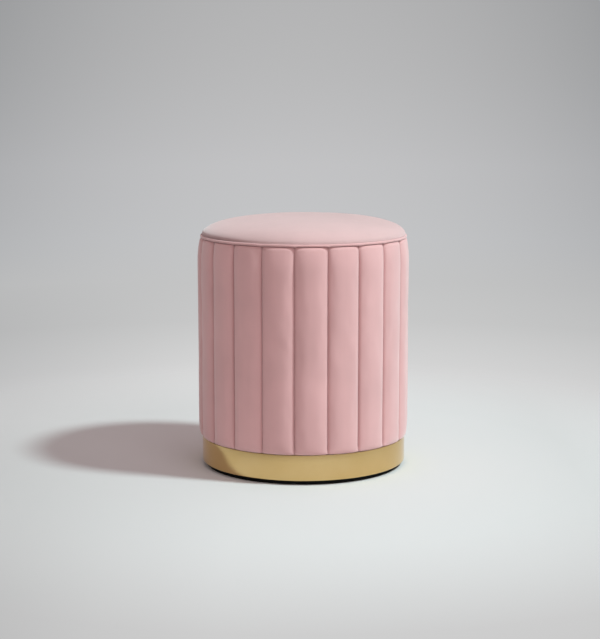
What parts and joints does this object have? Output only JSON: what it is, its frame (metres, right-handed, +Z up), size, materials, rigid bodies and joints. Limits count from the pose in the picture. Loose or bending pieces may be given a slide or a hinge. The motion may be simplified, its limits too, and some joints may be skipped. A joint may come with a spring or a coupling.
{
  "type": "ottoman",
  "caption": "Round drum ottoman with a channel-sewn velvet side, a welted and crowned seat, a plain brass plinth band and an inset black foot ring.",
  "frame": {"origin": "centre of the underside of the foot ring, on the floor", "axes": "+Z up along the drum's axis, -Y towards the front channel, the cover's and the band's joints at +Y"},
  "size_m": [0.35, 0.35, 0.412],
  "materials": {
    "velvet": "matte",
    "welt_velvet": "matte",
    "brass": "satin",
    "foot_black": "matte",
    "dust_cloth": "matte",
    "plywood": "matte",
    "upright_wood": "matte",
    "hardboard": "matte",
    "steel": "satin",
    "backing": "matte",
    "cord": "matte",
    "foam": "matte",
    "wadding": "matte"
  },
  "bodies": {
    "root": {"foot_ring": "foot_black", "foot_screws": "steel", "dust_cover": "dust_cloth", "plinth_ring_lower": "plywood", "plinth_ring_upper": "plywood", "plinth_screws": "steel", "brass_band": "brass", "band_pins": "brass", "bottom_board": "plywood", "bottom_board_screws": "steel", "upright_1": "upright_wood", "upright_2": "upright_wood", "upright_3": "upright_wood", "upright_4": "upright_wood", "upright_5": "upright_wood", "upright_6": "upright_wood", "top_board": "plywood", "top_board_screws": "steel", "drum_shell": "hardboard", "shell_tacks": "steel", "backing_cloth": "backing", "channel_foam_01": "foam", "channel_foam_02": "foam", "channel_foam_03": "foam", "channel_foam_04": "foam", "channel_foam_05": "foam", "channel_foam_06": "foam", "channel_foam_07": "foam", "channel_foam_08": "foam", "channel_foam_09": "foam", "channel_foam_10": "foam", "channel_foam_11": "foam", "channel_foam_12": "foam", "channel_foam_13": "foam", "channel_foam_14": "foam", "channel_foam_15": "foam", "channel_foam_16": "foam", "channel_foam_17": "foam", "channel_foam_18": "foam", "channel_foam_19": "foam", "channel_foam_20": "foam", "side_cover": "velvet", "cover_staples": "steel", "welt_cord": "cord", "welt_cover": "welt_velvet", "seat_foam": "foam", "seat_wadding": "wadding", "seat_cover": "velvet"}
  },
  "joints": []
}
